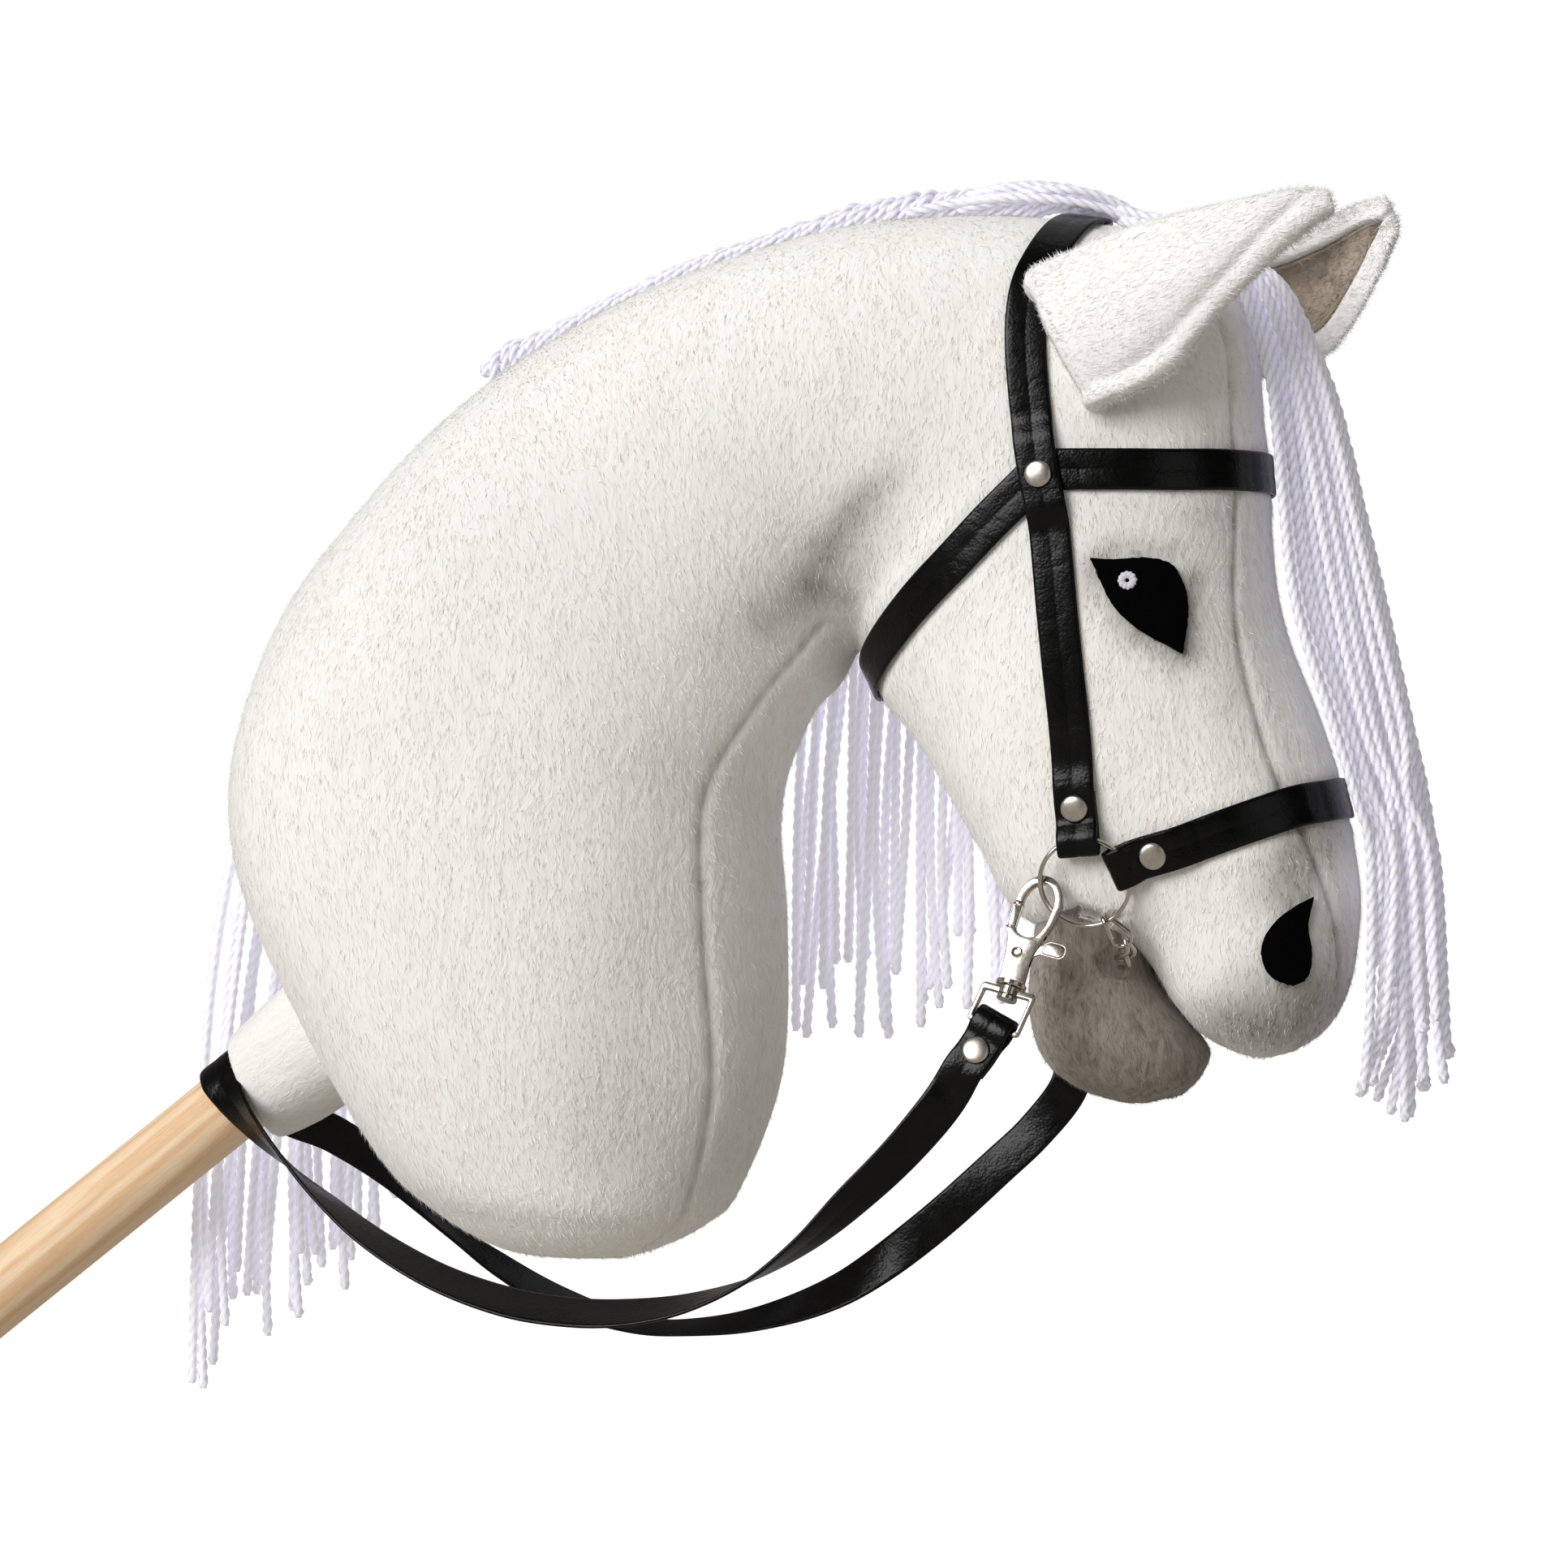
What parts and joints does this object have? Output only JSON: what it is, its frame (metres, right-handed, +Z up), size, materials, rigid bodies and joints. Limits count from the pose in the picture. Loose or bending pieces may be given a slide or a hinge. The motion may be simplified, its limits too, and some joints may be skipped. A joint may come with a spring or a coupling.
{
  "type": "hobby horse",
  "caption": "Plush horse head on a wooden stick, with a strap bridle, bit rings and chain, a clip-on rein, felt eyes and a yarn mane.",
  "frame": {"origin": "centre of the stick's lower end face", "axes": "+X the way the horse faces, +Y its left side, +Z up; the stick rises at 38 degrees from the origin towards +X"},
  "size_m": [0.6957, 0.1402, 0.5325],
  "materials": {
    "pine_wood": "satin",
    "white_plush": "matte",
    "grey_plush": "matte",
    "taupe_plush": "matte",
    "fibre_fill": "matte",
    "black_felt": "matte",
    "white_yarn": "matte",
    "black_strap": "semi-gloss",
    "nickel_plate": "polished"
  },
  "bodies": {
    "stick": {"stick": "pine_wood"},
    "head": {"stick_sleeve": "white_plush", "neck_stuffing": "fibre_fill", "head_stuffing": "fibre_fill", "lower_jaw_stuffing": "fibre_fill", "side_panel_right": "white_plush", "side_panel_left": "white_plush", "face_gusset": "white_plush", "chest_gusset": "white_plush", "lower_jaw_cover": "grey_plush", "ear_right": "white_plush", "ear_left": "white_plush", "ear_lining_right": "taupe_plush", "ear_lining_left": "taupe_plush", "eye_right": "black_felt", "eye_left": "black_felt", "nostril_right": "black_felt", "nostril_left": "black_felt", "eye_highlight_right": "white_yarn", "eye_highlight_left": "white_yarn", "mane_knots": "white_yarn", "mane": "white_yarn", "forelock": "white_yarn", "crown_strap": "black_strap", "browband": "black_strap", "throat_latch": "black_strap", "noseband": "black_strap", "rein_strap": "black_strap", "bit_ring_right": "nickel_plate", "bit_ring_left": "nickel_plate", "bit_chain_link_1": "nickel_plate", "bit_chain_link_2": "nickel_plate", "bit_chain_link_3": "nickel_plate", "bit_chain_link_4": "nickel_plate", "bit_chain_link_5": "nickel_plate", "bit_chain_link_6": "nickel_plate", "bit_chain_link_7": "nickel_plate", "bit_chain_link_8": "nickel_plate", "bit_chain_link_9": "nickel_plate", "bit_chain_link_10": "nickel_plate", "bit_chain_link_11": "nickel_plate", "cheek_rivet_right": "nickel_plate", "cheek_rivet_left": "nickel_plate", "nose_rivet_right": "nickel_plate", "nose_rivet_left": "nickel_plate", "junction_rivet_right": "nickel_plate", "junction_rivet_left": "nickel_plate", "rein_rivet_right": "nickel_plate", "rein_rivet_left": "nickel_plate", "hook_strap_loop_right": "nickel_plate", "hook_strap_loop_left": "nickel_plate"},
    "hook_right": {"hook_body_right": "nickel_plate", "hook_pin_right": "nickel_plate"},
    "gate_right": {"hook_gate_right": "nickel_plate"},
    "hook_left": {"hook_body_left": "nickel_plate", "hook_pin_left": "nickel_plate"},
    "gate_left": {"hook_gate_left": "nickel_plate"}
  },
  "joints": [
    {"name": "head_slide", "type": "slide", "parent": "stick", "child": "head", "axis": [0.788, 0, 0.6157], "range_m": [0, 0.14]},
    {"name": "hook_swivel_right", "type": "hinge", "parent": "head", "child": "hook_right", "pos_m": [0.56074, -0.0525, 0.27095], "axis": [-0.2588, -0.3304, -0.9077], "range_deg": [0, 20]},
    {"name": "hook_gate_pivot_right", "type": "hinge", "parent": "hook_right", "child": "gate_right", "pos_m": [0.562, -0.04918, 0.28007], "axis": [0, 0.9397, -0.342], "range_deg": [0, 20], "stiffness_Nm_per_rad": 0.02, "springref_deg": -20.05},
    {"name": "hook_swivel_left", "type": "hinge", "parent": "head", "child": "hook_left", "pos_m": [0.56862, 0.05123, 0.26651], "axis": [0.0477, -0.3192, 0.9465], "range_deg": [0, 20]},
    {"name": "hook_gate_pivot_left", "type": "hinge", "parent": "hook_left", "child": "gate_left", "pos_m": [0.5678, 0.04792, 0.27568], "axis": [-0.1521, 0.9342, 0.3228], "range_deg": [0, 20], "stiffness_Nm_per_rad": 0.02, "springref_deg": -20.05}
  ]
}
